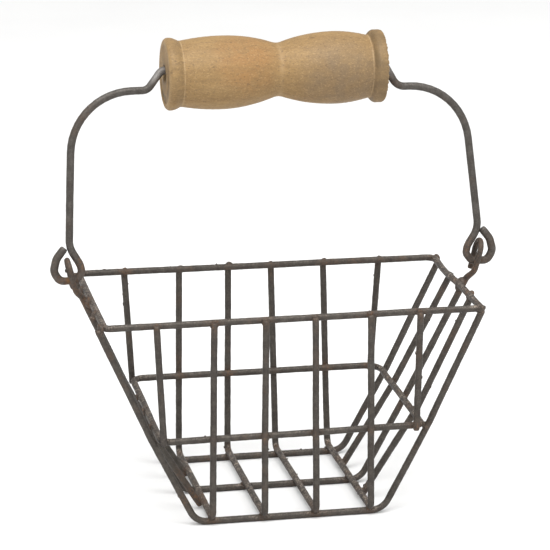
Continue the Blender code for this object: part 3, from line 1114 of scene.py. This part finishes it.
def make_welds(welds, paths, looks, draw):
    """The weld metal and the burrs, as one piece."""
    shape, (rust_layer,) = marked_shape("rust")
    add_welds(shape, rust_layer, welds, draw)
    add_burrs(shape, rust_layer, paths, draw)
    made = new_object("weld_metal", shape, looks)
    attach(made, "basket")


def bail_radius(place):
    """The loops were hammered shut, which left their wire a little fatter."""
    return BAIL_RADIUS + LOOP_SWELL * smooth((abs(place.x) - LOOP_START_X) / LOOP_SWELL_LENGTH)


def bail_wander(place):
    return LOOP_WANDER if place.z < LOOP_CLEAR_Z else BAIL_WANDER


def make_bail(looks):
    """The bail: rusty where its loops hang in the eyes, and bare where it rubs in the grip's mouths."""
    rust = Spots()
    bare = Spots()
    for side, sign in SIDE_SIGN.items():
        for x, rise, reach, strength in LOOP_RUST[side]:
            rust.add(leaned((sign * x, 0, rise)), reach, strength)
        mouth = GRIP_REACH[side] * sign + WAIST_X
        bare.add(leaned((mouth + 2.4 * sign, 0.6, GRIP_RISE - 1.8)), 3.4, MOUTH_RUB[side])
    draw = random.Random(BAIL_SEED)
    for _ in range(BAIL_RUST_SPOTS):
        rust.add(draw.choice(bail_path()), draw.uniform(2.5, 6.0), draw.uniform(0.15, 0.4))
    shape, (rust_layer, bare_layer) = marked_shape("rust", "bare")
    marks = {rust_layer: rust, bare_layer: bare}
    tube(shape, bail_path(), False, bail_radius, bail_wander, BAIL_ROUGHNESS, BAIL_TUBE_SEED, marks)
    made = new_object("bail_wire_bent", shape, looks)
    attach(made, "bail")
    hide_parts("bail_wire")


# ---------------------------------------------------------------- studio

CAMERA_AZIMUTH = math.radians(-11.566)
CAMERA_ELEVATION = math.radians(16.294)
CAMERA_ROLL = math.radians(0.378)
CAMERA_DISTANCE = 1.24893
CAMERA_TARGET = Vector((-0.00067, 0.0, 0.10056))
CAMERA_LENS = 184.03
CAMERA_FAR = 20.0

# Metres and watts: each lamp's name, azimuth and elevation in degrees, distance, size and power
SOFTBOXES = (
    ("key", -28, 58, 2.2, 2.0, 48),
    ("fill", 55, 40, 2.4, 1.6, 14),
    ("top", 20, 84, 1.8, 1.2, 12),
)
LAMP_TARGET = Vector((0, 0, 0.1))
SKY_STRENGTH = 0.66
STUDIO_REACH = 4.0


def look_matrix(azimuth, elevation, roll, distance, target):
    """A camera's or lamp's place, seen from the front and turned by azimuth to the right."""
    back = Vector((
        math.sin(azimuth) * math.cos(elevation),
        -math.cos(azimuth) * math.cos(elevation),
        math.sin(elevation),
    ))
    level = Vector((math.cos(azimuth), math.sin(azimuth), 0))
    upright = back.cross(level)
    right = level * math.cos(roll) + upright * math.sin(roll)
    up = back.cross(right)
    turn = Matrix((right, up, back)).transposed().to_4x4()
    return Matrix.Translation(target + back * distance) @ turn


def softbox(name, azimuth, elevation, distance, size, watts):
    light = bpy.data.lights.new(name, "AREA")
    light.shape = "SQUARE"
    light.size = size
    light.energy = watts
    lamp = bpy.data.objects.new(name, light)
    bpy.context.scene.collection.objects.link(lamp)
    lamp.matrix_world = look_matrix(
        math.radians(azimuth), math.radians(elevation), 0.0, distance, LAMP_TARGET
    )


def make_studio():
    scene = bpy.context.scene
    scene.view_settings.view_transform = "Standard"
    camera = bpy.data.objects.new("camera", bpy.data.cameras.new("camera"))
    camera.data.lens = CAMERA_LENS
    camera.data.clip_end = CAMERA_FAR
    scene.collection.objects.link(camera)
    camera.matrix_world = look_matrix(
        CAMERA_AZIMUTH, CAMERA_ELEVATION, CAMERA_ROLL, CAMERA_DISTANCE, CAMERA_TARGET
    )
    scene.camera = camera

    world = bpy.data.worlds.new("studio")
    world.use_nodes = True
    sky = world.node_tree.nodes["Background"]
    sky.inputs["Color"].default_value = (1, 1, 1, 1)
    sky.inputs["Strength"].default_value = SKY_STRENGTH
    scene.world = world

    shape = bmesh.new()
    bmesh.ops.create_grid(shape, x_segments=8, y_segments=8, size=STUDIO_REACH)
    floor = new_object("studio_floor", shape, floor_looks())
    floor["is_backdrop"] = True

    for lamp in SOFTBOXES:
        softbox(*lamp)


# ---------------------------------------------------------------- all together

wire_metal = wire_looks("oxidised_wire", BASKET_STEEL, 0.0)
bail_metal = wire_looks("bail_steel", BAIL_STEEL, BAIL_PATTERN_SHIFT)
make_basket(wire_metal)
make_bail(bail_metal)
make_grip(wood_looks("turned_hardwood"))
make_studio()

low_high = {"cad": cad_bounds, "visual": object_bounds()}
{name: [list(corner) for corner in corners] for name, corners in low_high.items()}
